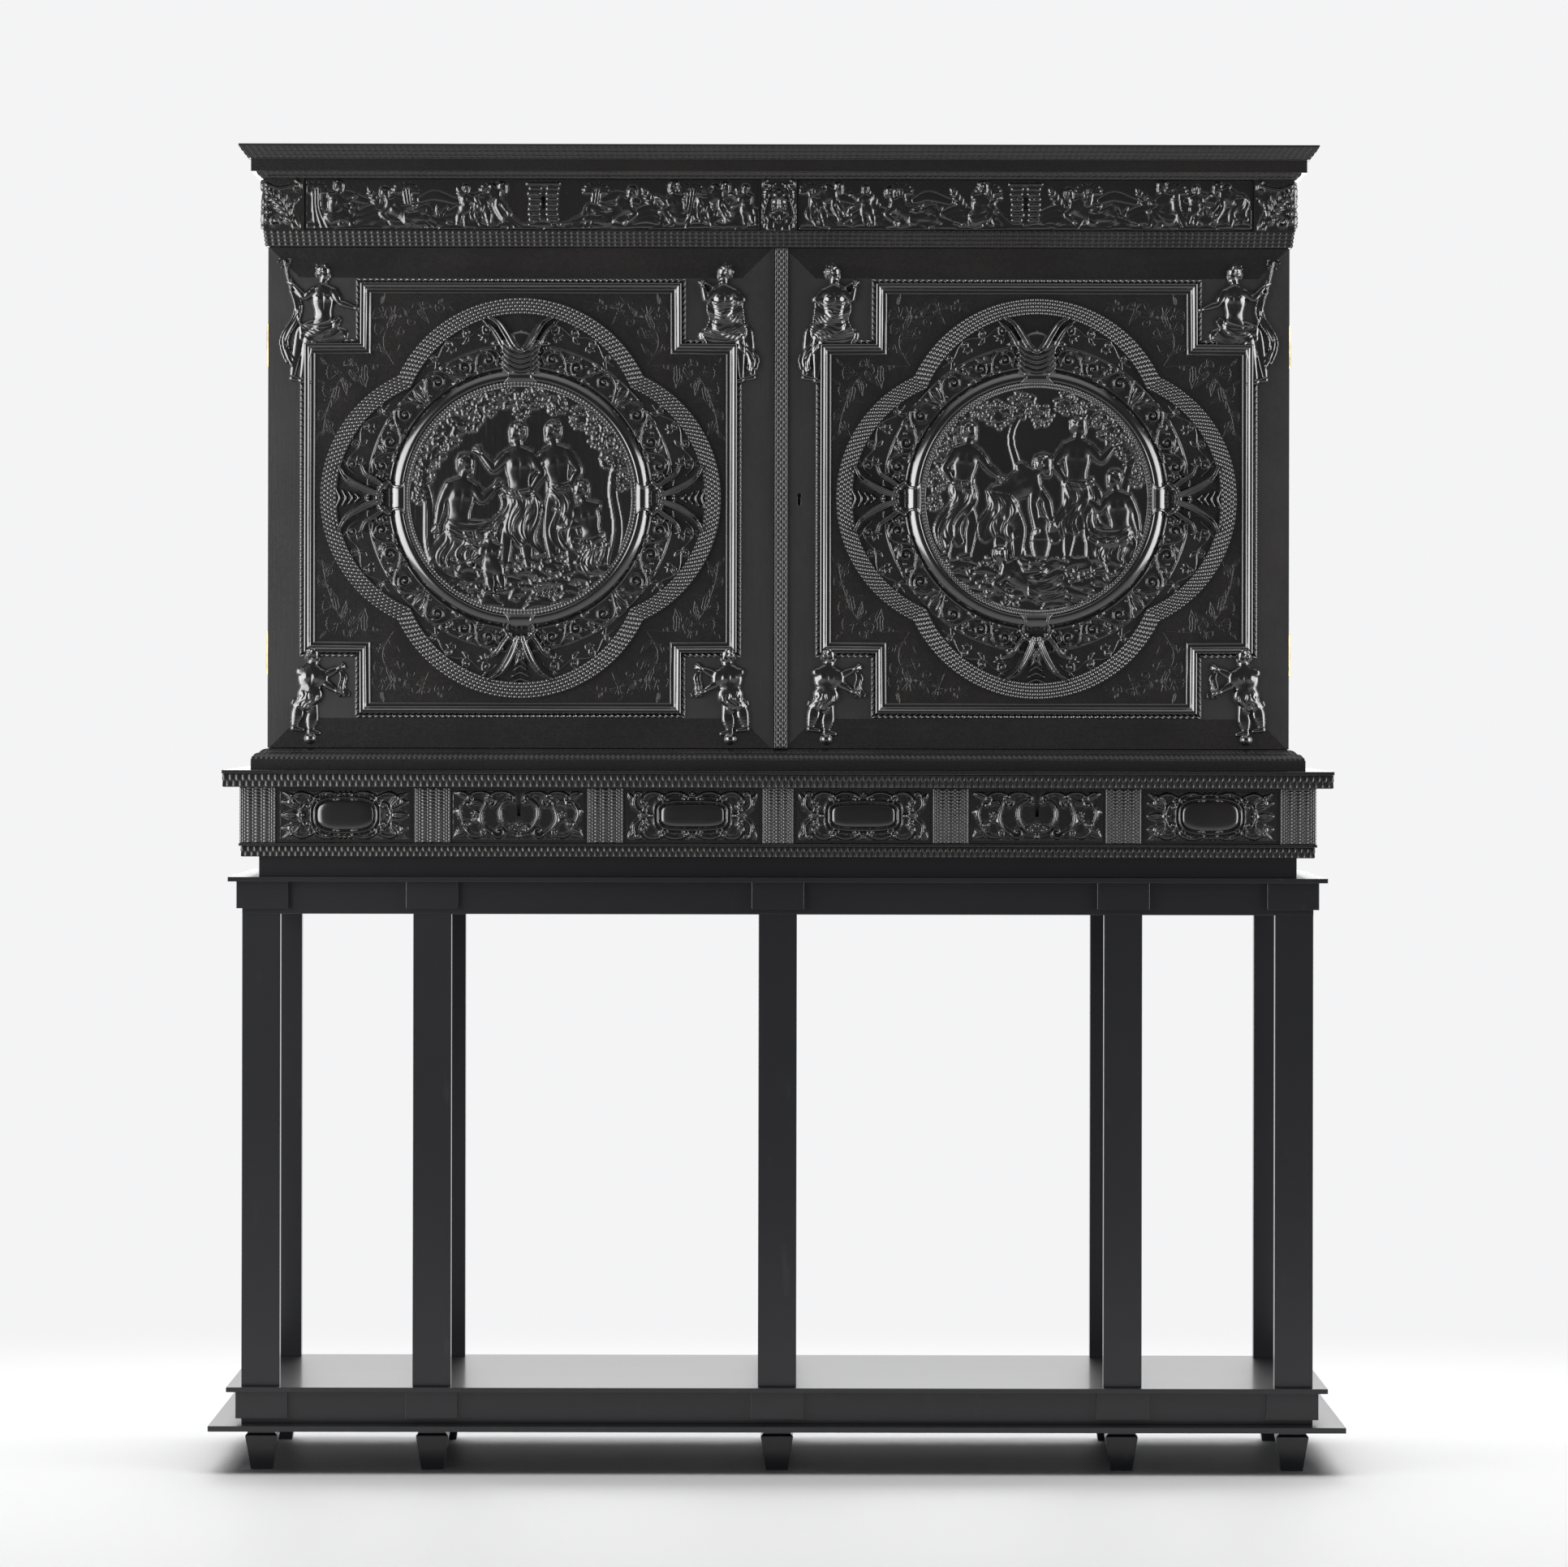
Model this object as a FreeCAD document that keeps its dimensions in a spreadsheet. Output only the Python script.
"""Ebony cabinet on stand: a two-door cabinet with frieze drawers on a shallow drawer case, carried by a
plain black stand of ten posts.

Millimetres, +Z up. The front faces -Y, and the origin is on the floor under the middle of the base plate.
"""
import FreeCAD
import Part
import Sketcher
import math
import os
import re

DOC = FreeCAD.newDocument("cabinet_on_stand")
SHEET = DOC.addObject("Spreadsheet::Sheet", "Sizes")

# Driving dimensions. A setback is measured inwards, and a proud amount outwards, from the outer faces of
# the stand's corner posts, alike at the front and at both sides.
SIZES = {
    # Stand
    "stand_depth": 523.0,
    "post_width": 59.0,
    "post_depth": 25.0,
    "post_length": 727.5,
    "post_outer_x": 795.5,
    "post_inner_x": 532.0,
    "foot_height": 66.0,
    "foot_neck_height": 9.0,
    "foot_chamfer_height": 4.0,
    "foot_top_width": 50.0,
    "foot_neck_width": 43.0,
    "foot_bottom_width": 33.0,
    "foot_inset": 45.0,
    "base_plate_thickness": 8.5,
    "base_plate_overhang": 48.0,
    "back_overhang": 10.0,
    "plinth_height": 49.5,
    "rail_thickness": 25.0,
    "block_width": 80.0,
    "block_height": 41.5,
    "block_proud": 8.5,
    "block_return": 46.0,
    "shelf_thickness": 7.5,
    "shelf_overhang": 22.0,
    "apron_height": 50.0,
    "stand_top_thickness": 7.0,
    "stand_top_overhang": 21.0,
    "bearer_height": 31.0,
    "bearer_setback": 24.0,
    "bearer_thickness": 40.0,
    # Lower drawer case
    "lower_base_tongue_height": 16.5,
    "lower_base_fillet_height": 4.5,
    "lower_base_fillet_proud": 5.5,
    "lower_base_tongue_proud": 0.5,
    "lower_drawer_height": 86.5,
    "lower_top_tongue_height": 20.5,
    "lower_top_lip_height": 5.5,
    "lower_top_tongue_proud": 27.0,
    "lower_top_lip_proud": 30.0,
    "lower_board_setback": 16.0,
    "lower_pilaster_proud": 3.0,
    "lower_pilaster_thickness": 6.0,
    "lower_corner_pilaster_width": 54.0,
    "lower_centre_pilaster_width": 47.0,
    "lower_side_thickness": 22.0,
    "lower_strip_width": 54.0,
    "lower_strip_thickness": 4.0,
    "lower_inner_strip_x": 266.0,
    "lower_outer_strip_x": 532.0,
    "lower_panel_margin": 5.0,
    "lower_panel_relief": 1.0,
    "lower_keyhole_x": 399.0,
    # Upper case
    "plinth_band_height": 17.0,
    "plinth_band_setback": 11.5,
    "plinth_ogee_height": 16.0,
    "plinth_ogee_step": 2.0,
    "plinth_ogee_setback": 34.0,
    "door_zone_height": 775.5,
    "door_setback": 36.0,
    "door_thickness": 30.0,
    "door_gap": 1.0,
    "waist_height": 24.5,
    "waist_top_setback": 30.0,
    "waist_bottom_setback": 33.0,
    "frieze_height": 80.0,
    "frieze_setback": 29.0,
    "frieze_ground": 4.0,
    "frieze_bracket_width": 63.0,
    "frieze_centre_width": 56.0,
    "frieze_keyhole_left_x": 364.0,
    "frieze_keyhole_right_x": 381.0,
    "cove_height": 10.0,
    "cove_bottom_setback": 28.0,
    "cove_top_setback": 19.0,
    "cornice_band_height": 20.0,
    "cornice_band_setback": 10.5,
    "crown_height": 18.0,
    "crown_bottom_setback": 8.0,
    "crown_top_proud": 6.0,
    "crown_rim_height": 3.5,
    "crown_rim_proud": 7.5,
    "upper_side_thickness": 24.0,
    "upper_top_thickness": 18.0,
    "back_thickness": 12.0,
    "shelf_board_thickness": 18.0,
    "partition_x": 262.0,
    "interior_setback": 30.0,
    # Drawer boxes and their running clearance
    "drawer_gap": 0.8,
    "drawer_back_gap": 18.0,
    "drawer_running_gap": 0.3,
    "drawer_front_thickness": 18.0,
    "drawer_side_thickness": 10.0,
    "drawer_bottom_thickness": 6.0,
    "drawer_side_drop": 12.0,
    "drawer_guide_height": 30.0,
    # Door ornament, measured from the middle of each door's frame
    "ornament_x": 398.5,
    "ornament_drop": 0.5,
    "frame_half_width": 341.5,
    "frame_half_height": 340.0,
    "frame_notch_width": 86.0,
    "frame_notch_height": 94.0,
    "frame_bead_width": 6.5,
    "frame_bead_height": 3.5,
    "frame_torus_width": 9.5,
    "frame_torus_height": 9.0,
    "frame_slope_width": 8.5,
    "frame_slope_height": 4.5,
    "frame_torus_round": 3.5,
    "lobe_offset": 101.0,
    "lobe_margin": 5.5,
    "lobe_band_width": 26.0,
    "lobe_band_height": 5.0,
    "ring_radius": 190.8,
    "ring_section_radius": 9.8,
    "ring_gap": 0.8,
    "clasp_length": 56.0,
    "clasp_width": 42.0,
    "clasp_height": 12.0,
    "figure_depth": 10.5,
    "figure_sink": 1.5,
    "figure_inset": 42.0,
    "figure_head_radius": 12.0,
    "figure_torso_width": 32.0,
    "figure_torso_height": 54.0,
    "figure_lap_width": 58.0,
    "figure_lap_height": 28.0,
    "figure_ball_radius": 13.0,
    "medallion_thickness": 4.0,
    "astragal_width": 20.0,
    "astragal_left": 6.0,
    "astragal_height": 4.5,
    # Hinges
    "hinge_height": 66.0,
    "hinge_upper_z": 236.0,
    "hinge_lower_z": 240.0,
    "hinge_leaf_width": 20.0,
    "hinge_leaf_thickness": 2.0,
    "hinge_barrel_radius": 3.5,
    "hinge_pin_radius": 1.5,
    "hinge_axis_proud": 0.8,
    "hinge_running_gap": 0.05,
    "hinge_recess_gap": 0.4,
    # Locks and bolts
    "keyhole_radius": 3.5,
    "keyhole_slot_width": 5.0,
    "keyhole_slot_drop": 15.0,
    "door_keyhole_x": 32.0,
    "door_keyhole_rise": 4.0,
    "lock_width": 60.0,
    "lock_height": 42.0,
    "lock_depth": 12.0,
    "lock_bolt_width": 22.0,
    "lock_bolt_depth": 6.0,
    "lock_bolt_length": 30.0,
    "lock_bolt_throw": 8.0,
    "lock_gap": 0.4,
    "door_lock_width": 76.0,
    "door_lock_height": 62.0,
    "door_bolt_height": 14.0,
    "door_bolt_length": 46.0,
    "door_bolt_throw": 16.0,
    "keep_length": 16.0,
    "keep_wall": 3.0,
    "slide_bolt_size": 8.0,
    "slide_bolt_length": 140.0,
    "slide_bolt_throw": 12.0,
    "slide_bolt_stand_off": 3.0,
    "slide_bolt_x": 40.0,
    "slide_bolt_end_gap": 2.0,
    "slide_knob_radius": 4.0,
    "slide_knob_length": 12.0,
    "staple_length": 12.0,
    "staple_wall": 3.0,
    "staple_end_distance": 22.0,
}

for row, (alias, value) in enumerate(SIZES.items(), start=1):
    SHEET.set(f"A{row}", alias)
    SHEET.set(f"B{row}", str(value))
    SHEET.setAlias(f"B{row}", alias)
DOC.recompute()

# The storeys of the cabinet from the floor upwards, each with the sizes that its height adds up from.
STOREYS = (
    ("feet", "foot_height"),
    ("base_plate", "base_plate_thickness"),
    ("plinth", "plinth_height"),
    ("shelf", "shelf_thickness"),
    ("posts", "post_length"),
    ("apron", "apron_height"),
    ("stand_top", "stand_top_thickness"),
    ("bearer", "bearer_height"),
    ("lower_base_tongue", "lower_base_tongue_height"),
    ("lower_base_fillet", "lower_base_fillet_height"),
    ("lower_drawers", "lower_drawer_height"),
    ("lower_top_tongue", "lower_top_tongue_height"),
    ("lower_top_lip", "lower_top_lip_height"),
    ("plinth_band", "plinth_band_height"),
    ("plinth_ogee", "plinth_ogee_height"),
    ("doors", "door_zone_height"),
    ("waist", "waist_height"),
    ("frieze", "frieze_height"),
    ("cove", "cove_height"),
    ("cornice_band", "cornice_band_height"),
    ("crown", "crown_height"),
    ("crown_rim", "crown_rim_height"),
)
LEVELS = {}
reached = "0"
for storey, height in STOREYS:
    LEVELS[storey] = (reached, f"{reached} + {height}")
    reached = f"{reached} + {height}"

# Reference planes: the outer faces of the corner posts, and the back that stands against the wall.
HALF = "(post_outer_x + post_width / 2)"
FRONT = "((base_plate_overhang - back_overhang - stand_depth) / 2)"
BACK = f"({FRONT} + stand_depth)"
DOOR_FRONT = f"({FRONT} + door_setback)"
DOOR_BACK = f"({DOOR_FRONT} + door_thickness)"
CASE_FRONT = f"({DOOR_BACK} + door_gap)"
LOWER_FRONT = f"({FRONT} - lower_pilaster_proud)"
FRIEZE_FRONT = f"({FRONT} + frieze_setback)"
BACK_INNER = f"({BACK} - back_thickness)"
CUT_MARGIN = 5

PARTS = []


def bound(text):
    """The expression with each size name pointing at its cell of the sheet."""
    return re.sub(
        r"\b[a-z][a-z_0-9]*\b",
        lambda word: f"Sizes.{word.group()}" if word.group() in SIZES else word.group(),
        text,
    )


def number(text):
    """The value of an expression of sizes, for shapes and counts that no property can hold."""
    return SHEET.evalExpression(text)


def keep(label, piece):
    """Names a finished piece, which is then written to its own file."""
    piece.Label = label
    PARTS.append(piece)
    return piece


def spot(piece, x="0", y="0", z="0"):
    """Binds a piece's place to the sheet."""
    for axis, value in zip("xyz", (x, y, z)):
        piece.setExpression(f".Placement.Base.{axis}", bound(value))
    return piece


def block(name, x, y, z):
    """A square block between a low and a high plane on each axis."""
    made = DOC.addObject("Part::Box", name)
    for size, (low, high) in zip(("Length", "Width", "Height"), (x, y, z)):
        made.setExpression(size, bound(f"({high}) - ({low})"))
    return spot(made, x[0], y[0], z[0])


def taper(name, z, low, high):
    """A block whose section changes evenly with height: low and high are ((x, x), (y, y)) at the two ends."""
    made = DOC.addObject("Part::Wedge", name)
    made.Placement = FreeCAD.Placement(
        FreeCAD.Vector(), FreeCAD.Rotation(FreeCAD.Vector(1, 0, 0), 90)
    )
    made.setExpression("Ymin", bound(z[0]))
    made.setExpression("Ymax", bound(z[1]))
    for prefix, ((x0, x1), (y0, y1)) in (("", low), ("2", high)):
        made.setExpression(f"X{prefix}min", bound(x0))
        made.setExpression(f"X{prefix}max", bound(x1))
        made.setExpression(f"Z{prefix}min", bound(f"-({y1})"))
        made.setExpression(f"Z{prefix}max", bound(f"-({y0})"))
    return made


def rod(name, radius, length, x, y, z, along="z"):
    """A round bar that starts at x, y, z and runs along +Z, or along +Y into the cabinet."""
    made = DOC.addObject("Part::Cylinder", name)
    if along == "y":
        made.Placement = FreeCAD.Placement(
            FreeCAD.Vector(), FreeCAD.Rotation(FreeCAD.Vector(1, 0, 0), -90)
        )
    made.setExpression("Radius", bound(radius))
    made.setExpression("Height", bound(length))
    return spot(made, x, y, z)


def fuse(name, pieces):
    made = DOC.addObject("Part::MultiFuse", name)
    made.Shapes = pieces
    made.Refine = True
    return made


def cut(name, base, tools):
    made = DOC.addObject("Part::Cut", name)
    made.Base = base
    made.Tool = tools[0] if len(tools) == 1 else fuse(f"{name}_tools", tools)
    made.Refine = True
    return made


def group(name, pieces):
    """Several separate solids in one node."""
    made = DOC.addObject("Part::Compound", name)
    made.Links = pieces
    return made


def both(plane):
    """The span from minus to plus an expression."""
    return (f"-({plane})", plane)


def mirrored(low, high, side):
    """A span of X on the right of the middle, or its mirror image on the left."""
    return (low, high) if side > 0 else (f"-({high})", f"-({low})")


def footprint(setback):
    """The plan of a storey whose front and sides lie that far inside the corner posts' faces."""
    return both(f"{HALF} - ({setback})"), (f"{FRONT} + ({setback})", BACK)


def moulding(name, stages, core):
    """A moulding round the front and sides, open at the back: stages are (z, lower setback, upper setback)."""
    solids = []
    for index, (z, low, high) in enumerate(stages):
        solids.append(taper(f"{name}_stage_{index}", z, footprint(low), footprint(high)))
    body = fuse(f"{name}_body", solids) if len(solids) > 1 else solids[0]
    x, (front, back) = core
    z = (stages[0][0][0], stages[-1][0][1])
    hollow = block(
        f"{name}_core", x, (front, f"{back} + {CUT_MARGIN}"),
        (f"{z[0]} - {CUT_MARGIN}", f"{z[1]} + {CUT_MARGIN}"),
    )
    return cut(name, body, [hollow])


def keyhole(name, x, y, z):
    """The cutter of a keyhole: a round eye with a slot below it, through the span y."""
    eye = rod(f"{name}_eye", "keyhole_radius", f"({y[1]}) - ({y[0]})", x, y[0], z, along="y")
    slot = block(
        f"{name}_slot",
        (f"{x} - keyhole_slot_width / 2", f"{x} + keyhole_slot_width / 2"),
        y,
        (f"{z} - keyhole_slot_drop", z),
    )
    return fuse(name, [eye, slot])


# Stand: feet, base plate, plinth, shelf, posts, apron and top

POST_XS = ("-post_outer_x", "-post_inner_x", "0", "post_inner_x", "post_outer_x")
POST_ROWS = (("front", FRONT), ("rear", f"({BACK} - post_depth)"))


def square(x, y, width):
    """The plan of a square bar of that width about a centre."""
    return (
        (f"{x} - ({width}) / 2", f"{x} + ({width}) / 2"),
        (f"{y} - ({width}) / 2", f"{y} + ({width}) / 2"),
    )


def foot(name, x, y):
    shoulder = "(foot_height - foot_neck_height - foot_chamfer_height)"
    collar = "(foot_height - foot_neck_height)"
    leg = taper(
        f"{name}_leg", ("0", shoulder),
        square(x, y, "foot_bottom_width"), square(x, y, "foot_top_width"),
    )
    chamfer = taper(
        f"{name}_chamfer", (shoulder, collar),
        square(x, y, "foot_top_width"), square(x, y, "foot_neck_width"),
    )
    neck = block(f"{name}_neck", *square(x, y, "foot_neck_width"), (collar, "foot_height"))
    return fuse(name, [leg, chamfer, neck])


def feet():
    rows = (("front", f"({FRONT} + foot_inset)"), ("rear", f"({BACK} - foot_inset + post_depth / 2)"))
    made = []
    for row_name, y in rows:
        for index, x in enumerate(POST_XS):
            made.append(foot(f"foot_{row_name}_{index}", x, y))
    return group("foot_set", made)


def plate(name, overhang, z):
    """A thin board that overhangs the posts at the front and sides, and a little at the back."""
    return block(
        name, both(f"{HALF} + {overhang}"), (f"{FRONT} - {overhang}", f"{BACK} + back_overhang"), z
    )


def rails(name, z):
    """A frame of four rails, flush with the posts' outer faces."""
    inside = f"{HALF} - rail_thickness"
    return group(name, [
        block(f"{name}_front", both(HALF), (FRONT, f"{FRONT} + rail_thickness"), z),
        block(f"{name}_rear", both(HALF), (f"{BACK} - rail_thickness", BACK), z),
        block(f"{name}_left", (f"-{HALF}", f"-({inside})"),
              (f"{FRONT} + rail_thickness", f"{BACK} - rail_thickness"), z),
        block(f"{name}_right", (inside, HALF),
              (f"{FRONT} + rail_thickness", f"{BACK} - rail_thickness"), z),
    ])


def stand_blocks():
    """Facing blocks on the plinth and apron at each post. The corner ones return round the side."""
    made = []
    inner = f"({HALF} + block_proud - block_width)"
    for storey in ("plinth", "apron"):
        top = LEVELS[storey][1]
        z = (f"{top} - block_height", top)
        faces = (("front", (f"{FRONT} - block_proud", FRONT), (f"{FRONT} - block_proud", f"{FRONT} + block_return")),
                 ("rear", (BACK, f"{BACK} + block_proud"), (f"{BACK} - block_return", f"{BACK} + block_proud")))
        for row, y, y_return in faces:
            for index, x in enumerate(POST_XS[1:4]):
                span = (f"{x} - block_width / 2", f"{x} + block_width / 2")
                made.append(block(f"{storey}_block_{row}_{index}", span, y, z))
            for side in (-1, 1):
                name = f"{storey}_corner_{row}_{'right' if side > 0 else 'left'}"
                corner = block(f"{name}_outer", mirrored(inner, f"{HALF} + block_proud", side), y_return, z)
                rail_corner = block(
                    f"{name}_rail", mirrored(f"{inner} - {CUT_MARGIN}", HALF, side), (FRONT, BACK),
                    (f"{z[0]} - {CUT_MARGIN}", f"{z[1]} + {CUT_MARGIN}"),
                )
                made.append(cut(name, corner, [rail_corner]))
    return group("stand_block_set", made)


def posts():
    made = []
    for row, y in POST_ROWS:
        for index, x in enumerate(POST_XS):
            span = (f"{x} - post_width / 2", f"{x} + post_width / 2")
            made.append(block(f"post_{row}_{index}", span, (y, f"{y} + post_depth"), LEVELS["posts"]))
    return group("post_set", made)


def bearer():
    """Four boards on the stand's top that carry the drawer case."""
    x, (front, back) = footprint("bearer_setback")
    z = LEVELS["bearer"]
    within = (f"{front} + bearer_thickness", f"{back} - bearer_thickness")
    half = x[1]
    return group("bearer_set", [
        block("bearer_front", x, (front, within[0]), z),
        block("bearer_rear", x, (within[1], back), z),
        block("bearer_left", (f"-({half})", f"-({half}) + bearer_thickness"), within, z),
        block("bearer_right", (f"{half} - bearer_thickness", half), within, z),
    ])


keep("feet", feet())
keep("base_plate", plate("base_board", "base_plate_overhang", LEVELS["base_plate"]))
keep("plinth_rails", rails("plinth_rail", LEVELS["plinth"]))
keep("stand_blocks", stand_blocks())
keep("shelf", plate("shelf_board", "shelf_overhang", LEVELS["shelf"]))
keep("posts", posts())
keep("apron_rails", rails("apron_rail", LEVELS["apron"]))
keep("stand_top", plate("stand_top_board", "stand_top_overhang", LEVELS["stand_top"]))
keep("bearer_frame", bearer())

# Lower drawer case: boards, sides, pilasters and the two mouldings

LOWER_BOARD = footprint("lower_board_setback")
LOWER_Z = LEVELS["lower_drawers"]
LOWER_BASE_Z = (LEVELS["lower_base_tongue"][0], LEVELS["lower_base_fillet"][1])
LOWER_TOP_Z = (LEVELS["lower_top_tongue"][0], LEVELS["lower_top_lip"][1])
LOWER_SIDE_OUTER = f"({HALF} + lower_pilaster_proud - lower_pilaster_thickness)"
LOWER_SIDE_INNER = f"({LOWER_SIDE_OUTER} - lower_side_thickness)"
LOWER_OPENING = (
    "(lower_centre_pilaster_width / 2)",
    f"({HALF} + lower_pilaster_proud - lower_corner_pilaster_width)",
)
LOWER_FIELD = f"({LOWER_FRONT} + lower_strip_thickness)"
LOWER_FRAME = f"({LOWER_FRONT} + lower_pilaster_thickness)"


def lock_mortise(name, x, y, z):
    """The cutter of the slot that a drawer's bolt rises into."""
    return block(
        name,
        (f"{x} - lock_bolt_width / 2 - lock_gap", f"{x} + lock_bolt_width / 2 + lock_gap"),
        (f"{y} - lock_gap", f"{y} + lock_bolt_depth + lock_gap"),
        (f"{z} - {CUT_MARGIN}", f"{z} + lock_bolt_throw + lock_gap"),
    )


def lock_bolt_y(field):
    """The front face of a drawer lock's bolt, behind the drawer front."""
    return f"({field} + drawer_front_thickness + (lock_depth - lock_bolt_depth) / 2)"


def lower_boards():
    floor = block("lower_floor", *LOWER_BOARD, LOWER_BASE_Z)
    roof = block("lower_roof_board", *LOWER_BOARD, LOWER_TOP_Z)
    slots = []
    for side in (-1, 1):
        x = f"({'' if side > 0 else '-'}lower_keyhole_x)"
        slots.append(lock_mortise(f"lower_mortise_{side + 1}", x, lock_bolt_y(LOWER_FIELD), LOWER_TOP_Z[0]))
    return group("lower_board_set", [floor, cut("lower_roof", roof, slots)])


def lower_sides():
    made = []
    for side in (-1, 1):
        made.append(block(
            f"lower_side_{side + 1}", mirrored(LOWER_SIDE_INNER, LOWER_SIDE_OUTER, side),
            (LOWER_FRAME, BACK), LOWER_Z,
        ))
    return group("lower_side_set", made)


def lower_pilasters():
    """The strips fixed to the case: one at each front corner, returning round the side, and one in the middle."""
    made = [block("pilaster_centre", both(LOWER_OPENING[0]), (LOWER_FRONT, LOWER_FRAME), LOWER_Z)]
    outer = f"({HALF} + lower_pilaster_proud)"
    for side in (-1, 1):
        name = f"pilaster_corner_{side + 1}"
        face = block(f"{name}_face", mirrored(LOWER_OPENING[1], outer, side), (LOWER_FRONT, LOWER_FRAME), LOWER_Z)
        turn = block(
            f"{name}_return", mirrored(LOWER_SIDE_OUTER, outer, side),
            (LOWER_FRONT, f"{LOWER_FRONT} + lower_corner_pilaster_width"), LOWER_Z,
        )
        made.append(fuse(name, [face, turn]))
    return group("pilaster_set", made)


keep("lower_case_boards", lower_boards())
keep("lower_case_sides", lower_sides())
keep("lower_pilasters", lower_pilasters())
keep("lower_base_moulding", moulding("lower_base", [
    (LEVELS["lower_base_tongue"], "-lower_base_tongue_proud", "-lower_base_tongue_proud"),
    (LEVELS["lower_base_fillet"], "-lower_base_fillet_proud", "-lower_base_fillet_proud"),
], LOWER_BOARD))
keep("lower_top_moulding", moulding("lower_top", [
    (LEVELS["lower_top_tongue"], "-lower_top_tongue_proud", "-lower_top_tongue_proud"),
    (LEVELS["lower_top_lip"], "-lower_top_lip_proud", "-lower_top_lip_proud"),
], LOWER_BOARD))

# Upper case: carcass boards, shelving inside, brackets and mouldings

DOOR_PLAN = footprint("door_setback")
DOOR_HALF = f"({HALF} - door_setback)"
UPPER_INNER = f"({DOOR_HALF} - upper_side_thickness)"
UPPER_Z = (LEVELS["doors"][0], LEVELS["frieze"][1])
DOOR_Z = LEVELS["doors"]
FRIEZE_Z = LEVELS["frieze"]
FRIEZE_FIELD = f"({FRIEZE_FRONT} + frieze_ground)"
FRIEZE_OPENING = (
    "(frieze_centre_width / 2)",
    f"({HALF} - frieze_setback - frieze_bracket_width)",
)
PLINTH_Z = (LEVELS["plinth_band"][0], LEVELS["plinth_ogee"][1])
SLIDE_BOLT_Y = f"({DOOR_BACK} + slide_bolt_stand_off)"
HINGE_ZS = (
    f"({DOOR_Z[0]} + door_zone_height / 2 + hinge_upper_z - hinge_height / 2)",
    f"({DOOR_Z[0]} + door_zone_height / 2 - hinge_lower_z - hinge_height / 2)",
)
HINGE_X = f"({DOOR_HALF} + hinge_axis_proud)"
HINGE_Y = f"({DOOR_BACK} + door_gap / 2)"


def hinge_recesses(name, side, leaf_y):
    """The cutters that let a leaf and the barrel into the wood, at each of a door's two hinges."""
    made = []
    for index, z in enumerate(HINGE_ZS):
        span = (z, f"{z} + hinge_height")
        made.append(block(
            f"{name}_leaf_{index}", mirrored(f"{DOOR_HALF} - hinge_leaf_width", f"{DOOR_HALF} + {CUT_MARGIN}", side),
            leaf_y, span,
        ))
        made.append(rod(
            f"{name}_barrel_{index}", "hinge_barrel_radius + hinge_recess_gap", "hinge_height",
            f"{'' if side > 0 else '-'}{HINGE_X}", HINGE_Y, z,
        ))
    return made


def upper_sides():
    made = []
    for side in (-1, 1):
        name = f"upper_side_{side + 1}"
        board = block(f"{name}_board", mirrored(UPPER_INNER, DOOR_HALF, side), (CASE_FRONT, BACK), UPPER_Z)
        leaf = (CASE_FRONT, f"{CASE_FRONT} + hinge_leaf_thickness")
        made.append(cut(name, board, hinge_recesses(f"{name}_recess", side, leaf)))
    return group("upper_side_set", made)


def slide_bolt_mortise(name, z):
    """The cutter of the hole that a sliding bolt of the left door enters."""
    half = "(slide_bolt_size / 2 + lock_gap)"
    return block(
        name, (f"-slide_bolt_x - {half}", f"-slide_bolt_x + {half}"),
        (f"{SLIDE_BOLT_Y} - lock_gap", f"{SLIDE_BOLT_Y} + slide_bolt_size + lock_gap"), z,
    )


def upper_bottom():
    board = block("upper_floor", *DOOR_PLAN, PLINTH_Z)
    top = PLINTH_Z[1]
    hole = slide_bolt_mortise("upper_floor_mortise", (f"{top} - slide_bolt_throw", f"{top} + {CUT_MARGIN}"))
    return cut("upper_floor_cut", board, [hole])


def dust_board():
    bottom, top = LEVELS["waist"]
    board = block("dust_panel", both(UPPER_INNER), (CASE_FRONT, BACK_INNER), (bottom, top))
    hole = slide_bolt_mortise("dust_mortise", (f"{bottom} - {CUT_MARGIN}", f"{bottom} + slide_bolt_throw"))
    return cut("dust_panel_cut", board, [hole])


def upper_top():
    bottom = LEVELS["cove"][0]
    board = block("upper_roof", *DOOR_PLAN, (bottom, f"{bottom} + upper_top_thickness"))
    slots = [
        lock_mortise("upper_mortise_left", "(-frieze_keyhole_left_x)", lock_bolt_y(FRIEZE_FIELD), bottom),
        lock_mortise("upper_mortise_right", "frieze_keyhole_right_x", lock_bolt_y(FRIEZE_FIELD), bottom),
    ]
    return cut("upper_roof_cut", board, slots)


def back_panels():
    return group("back_set", [
        block("lower_back", both(LOWER_SIDE_INNER), (BACK_INNER, BACK), LOWER_Z),
        block("upper_back", both(UPPER_INNER), (BACK_INNER, BACK), UPPER_Z),
    ])


def drawer_guides():
    """The divider between the drawers of each storey, and the strips at their outer sides that keep them straight."""
    made = [
        block("lower_divider", both(LOWER_OPENING[0]), (LOWER_FRAME, BACK_INNER), LOWER_Z),
        block("frieze_divider", both(FRIEZE_OPENING[0]), (CASE_FRONT, BACK_INNER), FRIEZE_Z),
    ]
    for side in (-1, 1):
        made.append(block(
            f"lower_guide_{side + 1}", mirrored(LOWER_OPENING[1], LOWER_SIDE_INNER, side),
            (LOWER_FRAME, BACK_INNER), (LOWER_Z[0], f"{LOWER_Z[0]} + drawer_guide_height"),
        ))
        made.append(block(
            f"frieze_guide_{side + 1}", mirrored(FRIEZE_OPENING[1], UPPER_INNER, side),
            (CASE_FRONT, BACK_INNER), (FRIEZE_Z[0], f"{FRIEZE_Z[0]} + drawer_guide_height"),
        ))
    return group("guide_set", made)


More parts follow.
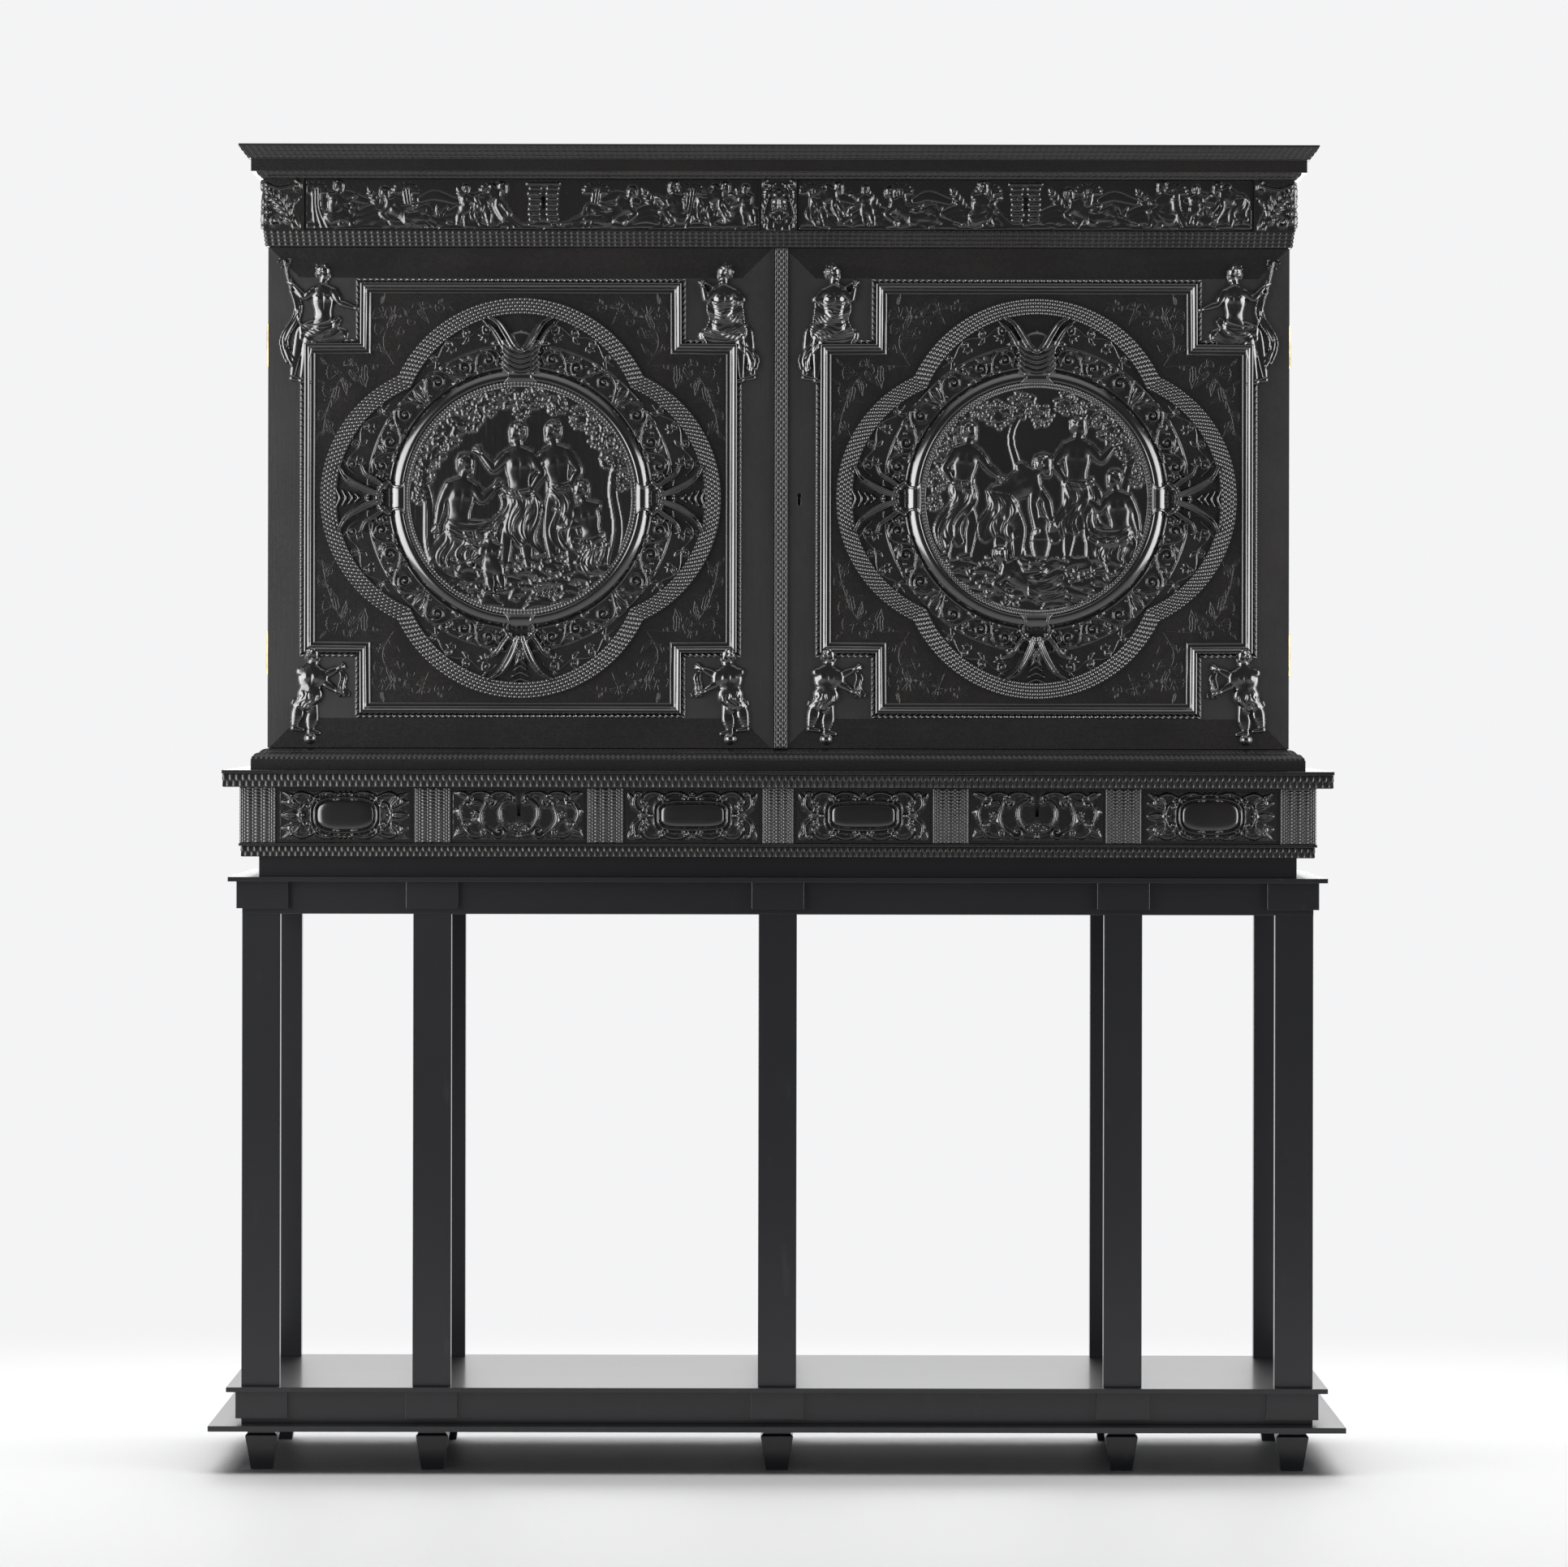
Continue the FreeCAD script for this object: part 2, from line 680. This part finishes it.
def interior_shelving():
    """Two partitions from floor to dust board, and a shelf in each of the three bays between."""
    front = f"({CASE_FRONT} + interior_setback)"
    half = "(shelf_board_thickness / 2)"
    middle = f"({DOOR_Z[0]} + door_zone_height / 2)"
    z = (f"{middle} - {half}", f"{middle} + {half}")
    depth = (front, BACK_INNER)
    made = []
    for side in (-1, 1):
        made.append(block(
            f"partition_{side + 1}", mirrored(f"partition_x - {half}", f"partition_x + {half}", side), depth, DOOR_Z,
        ))
        made.append(block(
            f"bay_shelf_{side + 1}", mirrored(f"partition_x + {half}", UPPER_INNER, side), depth, z,
        ))
    made.append(block("bay_shelf_middle", both(f"partition_x - {half}"), depth, z))
    return group("shelving_set", made)


def frieze_brackets():
    """The carved end brackets and the middle bracket between the frieze drawers."""
    y = (FRIEZE_FRONT, CASE_FRONT)
    made = [block("bracket_centre", both(FRIEZE_OPENING[0]), y, FRIEZE_Z)]
    for side in (-1, 1):
        made.append(block(
            f"bracket_end_{side + 1}", mirrored(FRIEZE_OPENING[1], f"{HALF} - frieze_setback", side), y, FRIEZE_Z,
        ))
    return group("bracket_set", made)


keep("upper_sides", upper_sides())
keep("upper_bottom", upper_bottom())
keep("dust_board", dust_board())
keep("upper_top", upper_top())
keep("back_panels", back_panels())
keep("drawer_guides", drawer_guides())
keep("interior_shelving", interior_shelving())
keep("frieze_brackets", frieze_brackets())
keep("plinth_moulding", moulding("plinth_mould", [
    (LEVELS["plinth_band"], "plinth_band_setback", "plinth_band_setback"),
    (LEVELS["plinth_ogee"], "plinth_band_setback + plinth_ogee_step", "plinth_ogee_setback"),
], DOOR_PLAN))
keep("waist_moulding", moulding("waist_mould", [
    (LEVELS["waist"], "waist_bottom_setback", "waist_top_setback"),
], (both(DOOR_HALF), (CASE_FRONT, BACK))))
keep("cornice", moulding("cornice_mould", [
    (LEVELS["cove"], "cove_bottom_setback", "cove_top_setback"),
    (LEVELS["cornice_band"], "cornice_band_setback", "cornice_band_setback"),
    (LEVELS["crown"], "crown_bottom_setback", "-crown_top_proud"),
    (LEVELS["crown_rim"], "-crown_rim_proud", "-crown_rim_proud"),
], DOOR_PLAN))

# Drawers: each has a front, a box, a lock and the lock's bolt


def drawer_box(name, x, front, z):
    """Two sides, a back and a bottom behind a drawer front, clear of the board that they run on."""
    low, high = x
    y = (front, f"{BACK_INNER} - drawer_back_gap")
    bottom = f"({z[0]} + drawer_running_gap)"
    sides_z = (bottom, f"{z[1]} - drawer_side_drop")
    inner = (f"{low} + drawer_side_thickness", f"{high} - drawer_side_thickness")
    floor_top = f"({bottom} + drawer_bottom_thickness)"
    return group(name, [
        block(f"{name}_left", (low, inner[0]), y, sides_z),
        block(f"{name}_right", (inner[1], high), y, sides_z),
        block(f"{name}_back", inner, (f"{y[1]} - drawer_side_thickness", y[1]), sides_z),
        block(f"{name}_bottom", inner, (y[0], f"{y[1]} - drawer_side_thickness"), (bottom, floor_top)),
    ])


def drawer_lock(name, x, front, top):
    """A lock case on the back of a drawer front, and the bolt that rises out of its top."""
    case_top = f"({top} - drawer_gap)"
    case = block(
        f"{name}_case", (f"{x} - lock_width / 2", f"{x} + lock_width / 2"), (front, f"{front} + lock_depth"),
        (f"{case_top} - lock_height", case_top),
    )
    bolt_y = f"({front} + (lock_depth - lock_bolt_depth) / 2)"
    span = (f"{x} - lock_bolt_width / 2", f"{x} + lock_bolt_width / 2")
    y = (bolt_y, f"{bolt_y} + lock_bolt_depth")
    channel = block(
        f"{name}_channel", (f"{span[0]} - lock_gap", f"{span[1]} + lock_gap"),
        (f"{y[0]} - lock_gap", f"{y[1]} + lock_gap"),
        (f"{case_top} - lock_bolt_length - lock_gap", f"{case_top} + {CUT_MARGIN}"),
    )
    bolt = block(f"{name}_bolt_bar", span, y, (f"{case_top} - lock_bolt_length", case_top))
    return cut(name, case, [channel]), bolt


def lower_drawer(side):
    """A lower drawer: its front carries two pilaster strips and three raised panels, and the middle one is pierced."""
    word = "right" if side > 0 else "left"
    x = mirrored(f"{LOWER_OPENING[0]} + drawer_gap", f"{LOWER_OPENING[1]} - drawer_gap", side)
    z = (f"{LOWER_Z[0]} + drawer_gap", f"{LOWER_Z[1]} - drawer_gap")
    back = f"({LOWER_FIELD} + drawer_front_thickness)"
    key_x = f"({'' if side > 0 else '-'}lower_keyhole_x)"
    key_z = f"({LOWER_Z[0]} + lower_drawer_height * 0.66)"
    board = block(f"lower_{word}_board", x, (LOWER_FIELD, back), z)
    hole = keyhole(f"lower_{word}_keyhole", key_x, (f"{LOWER_FRONT} - {CUT_MARGIN}", f"{back} + {CUT_MARGIN}"), key_z)
    strip_half = "(lower_strip_width / 2)"
    strips = [
        (f"lower_inner_strip_x - {strip_half}", f"lower_inner_strip_x + {strip_half}"),
        (f"lower_outer_strip_x - {strip_half}", f"lower_outer_strip_x + {strip_half}"),
    ]
    edges = [
        (f"{LOWER_OPENING[0]} + drawer_gap", strips[0][0]),
        (strips[0][1], strips[1][0]),
        (strips[1][1], f"{LOWER_OPENING[1]} - drawer_gap"),
    ]
    solids = [cut(f"lower_{word}_front", board, [hole])]
    for index, (low, high) in enumerate(strips):
        solids.append(block(f"lower_{word}_strip_{index}", mirrored(low, high, side), (LOWER_FRONT, LOWER_FIELD), z))
    for index, (low, high) in enumerate(edges):
        panel = block(
            f"lower_{word}_panel_{index}",
            mirrored(f"{low} + lower_panel_margin", f"{high} - lower_panel_margin", side),
            (f"{LOWER_FIELD} - lower_panel_relief", LOWER_FIELD),
            (f"{z[0]} + lower_panel_margin", f"{z[1]} - lower_panel_margin"),
        )
        pierced = keyhole(
            f"lower_{word}_panel_{index}_keyhole", key_x,
            (f"{LOWER_FRONT} - {CUT_MARGIN}", f"{back} + {CUT_MARGIN}"), key_z,
        ) if index == 1 else None
        solids.append(cut(f"lower_{word}_panel_{index}_cut", panel, [pierced]) if pierced else panel)
    lock, bolt = drawer_lock(f"lower_{word}_lock", key_x, back, LOWER_Z[1])
    keep(f"lower_{word}_drawer_front", group(f"lower_{word}_front_set", solids))
    keep(f"lower_{word}_drawer_box", drawer_box(f"lower_{word}_box", x, back, LOWER_Z))
    keep(f"lower_{word}_drawer_lock", lock)
    keep(f"lower_{word}_drawer_bolt", bolt)


def frieze_drawer(side):
    """A frieze drawer: one plain board in front, pierced for the key."""
    word = "right" if side > 0 else "left"
    x = mirrored(f"{FRIEZE_OPENING[0]} + drawer_gap", f"{FRIEZE_OPENING[1]} - drawer_gap", side)
    z = (f"{FRIEZE_Z[0]} + drawer_gap", f"{FRIEZE_Z[1]} - drawer_gap")
    back = f"({FRIEZE_FIELD} + drawer_front_thickness)"
    key_x = "frieze_keyhole_right_x" if side > 0 else "(-frieze_keyhole_left_x)"
    key_z = f"({FRIEZE_Z[0]} + frieze_height * 0.62)"
    board = block(f"frieze_{word}_board", x, (FRIEZE_FIELD, back), z)
    hole = keyhole(
        f"frieze_{word}_keyhole", key_x, (f"{FRIEZE_FIELD} - {CUT_MARGIN}", f"{back} + {CUT_MARGIN}"), key_z
    )
    lock, bolt = drawer_lock(f"frieze_{word}_lock", key_x, back, FRIEZE_Z[1])
    keep(f"frieze_{word}_drawer_front", cut(f"frieze_{word}_front", board, [hole]))
    keep(f"frieze_{word}_drawer_box", drawer_box(f"frieze_{word}_box", x, back, FRIEZE_Z))
    keep(f"frieze_{word}_drawer_lock", lock)
    keep(f"frieze_{word}_drawer_bolt", bolt)


for hand in (-1, 1):
    lower_drawer(hand)
    frieze_drawer(hand)

# Doors: slab, notched frame moulding, lobed band, medallion and hardware

ORNAMENT_Z = f"({DOOR_Z[0]} + door_zone_height / 2 - ornament_drop)"
LEAF_SPAN = (f"{DOOR_BACK} - hinge_leaf_thickness", DOOR_BACK)
DOOR_KEY_Z = f"({DOOR_Z[0]} + door_zone_height / 2 + door_keyhole_rise)"
FRAME_TORUS_INSET = "(frame_bead_width + frame_torus_width)"
FRAME_INSET = "(frame_bead_width + frame_torus_width + frame_slope_width)"
LOBE_RADIUS = f"(min(frame_half_width; frame_half_height) - {FRAME_INSET} - lobe_margin - lobe_offset)"
MEDALLION_RADIUS = "(ring_radius - ring_section_radius - ring_gap)"


def door_slab(word, side):
    free_edge = "-astragal_left" if side > 0 else "(astragal_left + door_gap)"
    z = (f"{DOOR_Z[0]} + door_gap", f"{DOOR_Z[1]} - door_gap")
    slab = block(f"{word}_slab", mirrored(free_edge, DOOR_HALF, side), (DOOR_FRONT, DOOR_BACK), z)
    tools = hinge_recesses(f"{word}_door_recess", side, LEAF_SPAN)
    if side > 0:
        through = (f"{DOOR_FRONT} - {CUT_MARGIN}", f"{DOOR_BACK} + {CUT_MARGIN}")
        tools.append(keyhole("door_keyhole", "door_keyhole_x", through, DOOR_KEY_Z))
    return cut(f"{word}_door_slab", slab, tools)


def notched_ring(body, name, outer, inner, height):
    """Pads the ring between two notched outlines, each set inside the frame's outer edge by an inset.

    The sketch lies on the door's face, with its corner a little outside the frame's lower left, so that
    all its dimensions are positive."""
    sketch = body.newObject("Sketcher::SketchObject", name)
    plane = next(item for item in body.Origin.OriginFeatures if item.Role == "XZ_Plane")
    sketch.AttachmentSupport = [(plane, "")]
    sketch.MapMode = "FlatFace"
    for inset in (outer, inner):
        notched_outline(sketch, inset)
    pad = body.newObject("PartDesign::Pad", f"{name}_pad")
    pad.Profile = sketch
    pad.setExpression("Length", bound(height))
    return pad


def notched_outline(sketch, inset):
    """A square-notched outline: twelve straight sides, each tied to the sheet by one dimension."""
    wide = "(2 * frame_half_width)"
    tall = "(2 * frame_half_height)"
    columns = [f"({CUT_MARGIN} + {place})" for place in (
        inset, f"frame_notch_width + {inset}", f"{wide} - frame_notch_width - {inset}", f"{wide} - {inset}",
    )]
    rows = [f"({CUT_MARGIN} + {place})" for place in (
        inset, f"frame_notch_height + {inset}", f"{tall} - frame_notch_height - {inset}", f"{tall} - {inset}",
    )]
    path = ((1, 0), (2, 0), (2, 1), (3, 1), (3, 2), (2, 2), (2, 3), (1, 3), (1, 2), (0, 2), (0, 1), (1, 1))
    corners = [FreeCAD.Vector(number(columns[c]), number(rows[r]), 0) for c, r in path]
    first = sketch.GeometryCount
    count = len(path)
    for index in range(count):
        sketch.addGeometry(Part.LineSegment(corners[index], corners[(index + 1) % count]), False)
    for index in range(count):
        line, following = first + index, first + (index + 1) % count
        sketch.addConstraint(Sketcher.Constraint("Coincident", line, 2, following, 1))
        level = path[index][1] == path[(index + 1) % count][1]
        sketch.addConstraint(Sketcher.Constraint("Horizontal" if level else "Vertical", line))
        kind, places, place = ("DistanceY", rows, path[index][1]) if level else ("DistanceX", columns, path[index][0])
        row = sketch.addConstraint(Sketcher.Constraint(kind, -1, 1, line, 1, number(places[place])))
        sketch.setExpression(f"Constraints[{row}]", bound(places[place]))


def frame_moulding(word, side):
    """The notched frame: a bead outside, a half-round torus, and a low sloping member inside."""
    body = DOC.addObject("PartDesign::Body", f"{word}_frame_body")
    notched_ring(body, f"{word}_frame_bead", "0", "frame_bead_width", "frame_bead_height")
    notched_ring(body, f"{word}_frame_torus", "frame_bead_width", FRAME_TORUS_INSET, "frame_torus_height")
    notched_ring(body, f"{word}_frame_slope", FRAME_TORUS_INSET, FRAME_INSET, "frame_slope_height")
    DOC.recompute()
    top = number("frame_torus_height")
    tip = body.Tip
    names = [
        f"Edge{index}" for index, line in enumerate(tip.Shape.Edges, start=1)
        if all(abs(abs(corner.Point.y) - top) < 1e-6 for corner in line.Vertexes)
    ]
    rounding = body.newObject("PartDesign::Fillet", f"{word}_frame_round")
    rounding.Base = (tip, names)
    rounding.setExpression("Radius", bound("frame_torus_round"))
    corner_x = f"{'' if side > 0 else '-'}ornament_x - frame_half_width - {CUT_MARGIN}"
    return spot(body, corner_x, DOOR_FRONT, f"{ORNAMENT_Z} - frame_half_height - {CUT_MARGIN}")


def lobes(name, middle, radius, height):
    """A four-lobed plate on the door's face, made of four overlapping discs."""
    y = f"({DOOR_FRONT} - ({height}))"
    made = []
    for index, (dx, dz) in enumerate(((1, 0), (-1, 0), (0, 1), (0, -1))):
        x = f"{middle} + {dx} * lobe_offset"
        z = f"{ORNAMENT_Z} + {dz} * lobe_offset"
        made.append(rod(f"{name}_lobe_{index}", radius, height, x, y, z, along="y"))
    return fuse(name, made)


def lobed_band(word, middle):
    inner_radius = f"{LOBE_RADIUS} - lobe_band_width"
    outer = lobes(f"{word}_lobes_outer", middle, LOBE_RADIUS, "lobe_band_height")
    inner = lobes(f"{word}_lobes_inner", middle, inner_radius, f"lobe_band_height + {CUT_MARGIN}")
    return cut(f"{word}_lobed_band", outer, [inner])


def medallion(word, middle):
    """The round relief plate and the four torus arcs about it, with room for a clasp between their ends."""
    plate_y = f"({DOOR_FRONT} - medallion_thickness)"
    solids = [rod(f"{word}_relief_plate", MEDALLION_RADIUS, "medallion_thickness", middle, plate_y, ORNAMENT_Z, "y")]
    clasp_share = "((clasp_length / 2 + ring_gap) / (ring_radius - ring_section_radius))"
    clasp_angle = math.degrees(math.asin(number(clasp_share)))
    for index in range(4):
        arc = DOC.addObject("Part::Torus", f"{word}_ring_arc_{index}_whole")
        arc.setExpression("Radius1", bound("ring_radius"))
        arc.setExpression("Radius2", bound("ring_section_radius"))
        arc.setExpression("Angle3", bound(f"90 deg - 2 * asin({clasp_share})"))
        turn = FreeCAD.Rotation(FreeCAD.Vector(1, 0, 0), -90)
        spin = FreeCAD.Rotation(FreeCAD.Vector(0, 0, 1), 90 * index + clasp_angle)
        arc.Placement = FreeCAD.Placement(FreeCAD.Vector(), turn.multiply(spin))
        spot(arc, middle, DOOR_FRONT, ORNAMENT_Z)
        reach = "(ring_radius + 2 * ring_section_radius)"
        behind = block(
            f"{word}_ring_arc_{index}_wood", (f"{middle} - {reach}", f"{middle} + {reach}"),
            (DOOR_FRONT, DOOR_BACK), (f"{ORNAMENT_Z} - {reach}", f"{ORNAMENT_Z} + {reach}"),
        )
        solids.append(cut(f"{word}_ring_arc_{index}", arc, [behind]))
    return group(f"{word}_medallion_set", solids)


def clasps(word, middle):
    """The four blocks that the ring's clasps and leaf sprays are carved from."""
    solids = []
    inside = f"({MEDALLION_RADIUS} + ring_gap / 2)"
    outside = f"({inside} + clasp_width)"
    for index, (dx, dz) in enumerate(((1, 0), (-1, 0), (0, 1), (0, -1))):
        radial = (inside, outside) if dx + dz > 0 else (f"-{outside}", f"-{inside}")
        across = both("clasp_length / 2")
        x, z = (radial, across) if dx else (across, radial)
        solids.append(block(
            f"{word}_clasp_{index}", tuple(f"{middle} + ({value})" for value in x),
            (f"{DOOR_FRONT} - clasp_height", DOOR_FRONT), tuple(f"{ORNAMENT_Z} + ({value})" for value in z),
        ))
    return solids


def swelling(name, x, z, half_width, half_height):
    """A rounded form, sunk a little into the door's face, before the wood behind the face is cut away."""
    made = DOC.addObject("Part::Ellipsoid", name)
    made.setExpression("Radius1", bound(half_height))
    made.setExpression("Radius2", bound(half_width))
    made.setExpression("Radius3", bound("figure_depth"))
    for angle, limit in (("Angle1", -90), ("Angle2", 90), ("Angle3", 360)):
        setattr(made, angle, limit)
    return spot(made, x, f"{DOOR_FRONT} + figure_sink", z)


def corner_figures(word, middle):
    """The blanks of the figures in the frame's four notches: seated ones above, and ones on a ball below."""
    solids = []
    for across in (-1, 1):
        x = f"({middle} + {across} * (frame_half_width - figure_inset))"
        for up in (-1, 1):
            name = f"{word}_figure_{across + 1}_{up + 1}"
            z = f"({ORNAMENT_Z} + {up} * (frame_half_height - figure_inset))"
            torso = swelling(f"{name}_torso", x, z, "figure_torso_width / 2", "figure_torso_height / 2")
            head_z = f"{z} + figure_torso_height / 2 + figure_head_radius / 2"
            head = swelling(f"{name}_head", x, head_z, "figure_head_radius", "figure_head_radius")
            foot_z = f"{z} - figure_torso_height / 2"
            if up > 0:
                base = swelling(f"{name}_lap", x, foot_z, "figure_lap_width / 2", "figure_lap_height / 2")
            else:
                base = swelling(f"{name}_ball", x, foot_z, "figure_ball_radius", "figure_ball_radius")
            reach = "(figure_torso_height + figure_lap_width)"
            wood = block(
                f"{name}_wood", (f"{x} - {reach}", f"{x} + {reach}"), (DOOR_FRONT, DOOR_BACK),
                (f"{z} - {reach}", f"{z} + {reach}"),
            )
            solids.append(cut(name, fuse(f"{name}_whole", [torso, head, base]), [wood]))
    return solids


def carvings(word, middle):
    return group(f"{word}_carving_set", clasps(word, middle) + corner_figures(word, middle))


def hinge_leaf(name, side, leaf_y, own):
    """A leaf let into the wood, with the knuckles of the barrel that belong to it, bored for the pin."""
    made = []
    knuckle = "(hinge_height / 5)"
    sign = "" if side > 0 else "-"
    for index, z in enumerate(HINGE_ZS):
        part = f"{name}_{index}"
        edge = f"({DOOR_HALF} - hinge_barrel_radius)"
        solids = [block(f"{part}_plate", mirrored(f"{DOOR_HALF} - hinge_leaf_width", edge, side), leaf_y,
                        (z, f"{z} + hinge_height"))]
        for row in own:
            low = f"({z} + {row} * {knuckle} + hinge_recess_gap / 2)"
            high = f"({z} + {row + 1} * {knuckle} - hinge_recess_gap / 2)"
            solids.append(block(f"{part}_neck_{row}", mirrored(edge, HINGE_X, side), leaf_y, (low, high)))
            solids.append(rod(f"{part}_knuckle_{row}", "hinge_barrel_radius", f"{high} - {low}",
                              f"{sign}{HINGE_X}", HINGE_Y, low))
        bore = rod(f"{part}_bore", "hinge_pin_radius + hinge_running_gap", f"hinge_height + 2 * {CUT_MARGIN}",
                   f"{sign}{HINGE_X}", HINGE_Y, f"{z} - {CUT_MARGIN}")
        made.append(cut(part, fuse(f"{part}_solid", solids), [bore]))
    return made


def case_hinges():
    """The case leaves of all four hinges, and their pins."""
    leaf = (CASE_FRONT, f"{CASE_FRONT} + hinge_leaf_thickness")
    made = []
    for side in (-1, 1):
        made += hinge_leaf(f"case_leaf_{side + 1}", side, leaf, (0, 2, 4))
        for index, z in enumerate(HINGE_ZS):
            made.append(rod(f"hinge_pin_{side + 1}_{index}", "hinge_pin_radius", "hinge_height",
                            f"{'' if side > 0 else '-'}{HINGE_X}", HINGE_Y, z))
    return group("case_hinge_set", made)


def door(side):
    word = "right" if side > 0 else "left"
    middle = f"({'' if side > 0 else '-'}ornament_x)"
    keep(f"{word}_door", door_slab(word, side))
    keep(f"{word}_door_frame_moulding", frame_moulding(word, side))
    keep(f"{word}_door_lobed_band", lobed_band(word, middle))
    keep(f"{word}_door_medallion", medallion(word, middle))
    keep(f"{word}_door_carvings", carvings(word, middle))
    keep(f"{word}_door_hinge_leaves", group(f"{word}_leaf_set", hinge_leaf(f"{word}_leaf", side, LEAF_SPAN, (1, 3))))


def astragal():
    """The rippled strip on the right door's free edge."""
    z = (f"{DOOR_Z[0]} + door_gap", f"{DOOR_Z[1]} - door_gap")
    x = ("-astragal_left", "-astragal_left + astragal_width")
    return block("astragal_strip", x, (f"{DOOR_FRONT} - astragal_height", DOOR_FRONT), z)


def door_lock():
    """The lock on the right door's inner face, with a bolt that shoots towards the left door."""
    left = "(-astragal_left + 2 * door_gap)"
    z_mid = f"({DOOR_KEY_Z} - keyhole_slot_drop / 2)"
    case = block(
        "door_lock_case", (left, f"{left} + door_lock_width"), (DOOR_BACK, f"{DOOR_BACK} + lock_depth"),
        (f"{z_mid} - door_lock_height / 2", f"{z_mid} + door_lock_height / 2"),
    )
    y0 = f"({DOOR_BACK} + (lock_depth - lock_bolt_depth) / 2)"
    y = (y0, f"{y0} + lock_bolt_depth")
    z = (f"{z_mid} - door_bolt_height / 2", f"{z_mid} + door_bolt_height / 2")
    gap = "lock_gap"
    channel = block(
        "door_lock_channel", (f"{left} - {CUT_MARGIN}", f"{left} + door_bolt_length + {gap}"),
        (f"{y[0]} - {gap}", f"{y[1]} + {gap}"), (f"{z[0]} - {gap}", f"{z[1]} + {gap}"),
    )
    bolt = block("door_lock_bar", (left, f"{left} + door_bolt_length"), y, z)
    keep("door_lock", cut("door_lock_body", case, [channel]))
    keep("door_lock_bolt", bolt)
    right = "(-astragal_left - 3 * door_gap)"
    wall = "keep_wall"
    outer = block(
        "keep_block", (f"{right} - keep_length", right), (DOOR_BACK, f"{y[1]} + {wall}"),
        (f"{z[0]} - {wall}", f"{z[1]} + {wall}"),
    )
    hole = block(
        "keep_hole", (f"{right} - keep_length - {CUT_MARGIN}", f"{right} + {CUT_MARGIN}"),
        (f"{y[0]} - {gap}", f"{y[1]} + {gap}"), (f"{z[0]} - {gap}", f"{z[1]} + {gap}"),
    )
    return cut("lock_keep", outer, [hole])


def slide_bolts(lock_keep):
    """The left door's two sliding bolts, the staples that guide them, and the keep for the lock."""
    half = "(slide_bolt_size / 2)"
    x = (f"-slide_bolt_x - {half}", f"-slide_bolt_x + {half}")
    y = (SLIDE_BOLT_Y, f"{SLIDE_BOLT_Y} + slide_bolt_size")
    gap, wall = "lock_gap", "staple_wall"
    staples = [lock_keep]
    ends = (
        ("top", f"({DOOR_Z[1]} - door_gap - slide_bolt_end_gap - slide_bolt_length)"),
        ("bottom", f"({DOOR_Z[0]} + door_gap + slide_bolt_end_gap)"),
    )
    for word, low in ends:
        bar = block(f"slide_bar_{word}", x, y, (low, f"{low} + slide_bolt_length"))
        knob = rod(f"slide_knob_{word}", "slide_knob_radius", "slide_bolt_size / 2 + slide_knob_length",
                   "-slide_bolt_x", f"{y[0]} + {half}", f"{low} + slide_bolt_length / 2", along="y")
        keep(f"{word}_slide_bolt", fuse(f"slide_bolt_{word}", [bar, knob]))
        for index, middle in enumerate((
            f"({low} + staple_end_distance)", f"({low} + slide_bolt_length - staple_end_distance)",
        )):
            z = (f"{middle} - staple_length / 2", f"{middle} + staple_length / 2")
            bridge = block(f"staple_{word}_{index}_block", (f"{x[0]} - {gap} - {wall}", f"{x[1]} + {gap} + {wall}"),
                           (DOOR_BACK, f"{y[1]} + {gap} + {wall}"), z)
            slot = block(f"staple_{word}_{index}_slot", (f"{x[0]} - {gap}", f"{x[1]} + {gap}"),
                         (f"{y[0]} - {gap}", f"{y[1]} + {gap}"),
                         (f"{z[0]} - {CUT_MARGIN}", f"{z[1]} + {CUT_MARGIN}"))
            staples.append(cut(f"staple_{word}_{index}", bridge, [slot]))
    return group("staple_set", staples)


for hand in (-1, 1):
    door(hand)
keep("astragal", astragal())
keep("case_hinge_leaves", case_hinges())
keep("left_door_staples", slide_bolts(door_lock()))

# Checks, then one file for each piece

DOC.recompute()
for item in DOC.Objects:
    if "Invalid" in item.State or "Error" in item.State:
        raise RuntimeError(f"{item.Label} failed: {item.State}")
for piece in PARTS:
    if piece.Shape.isNull() or not piece.Shape.isValid() or not piece.Shape.Solids:
        raise RuntimeError(f"{piece.Label} has no valid solid")
os.makedirs("parts", exist_ok=True)
for piece in PARTS:
    piece.Shape.exportStep(f"parts/{piece.Label}.step")
print(f"{len(PARTS)} pieces, {sum(len(piece.Shape.Solids) for piece in PARTS)} solids")
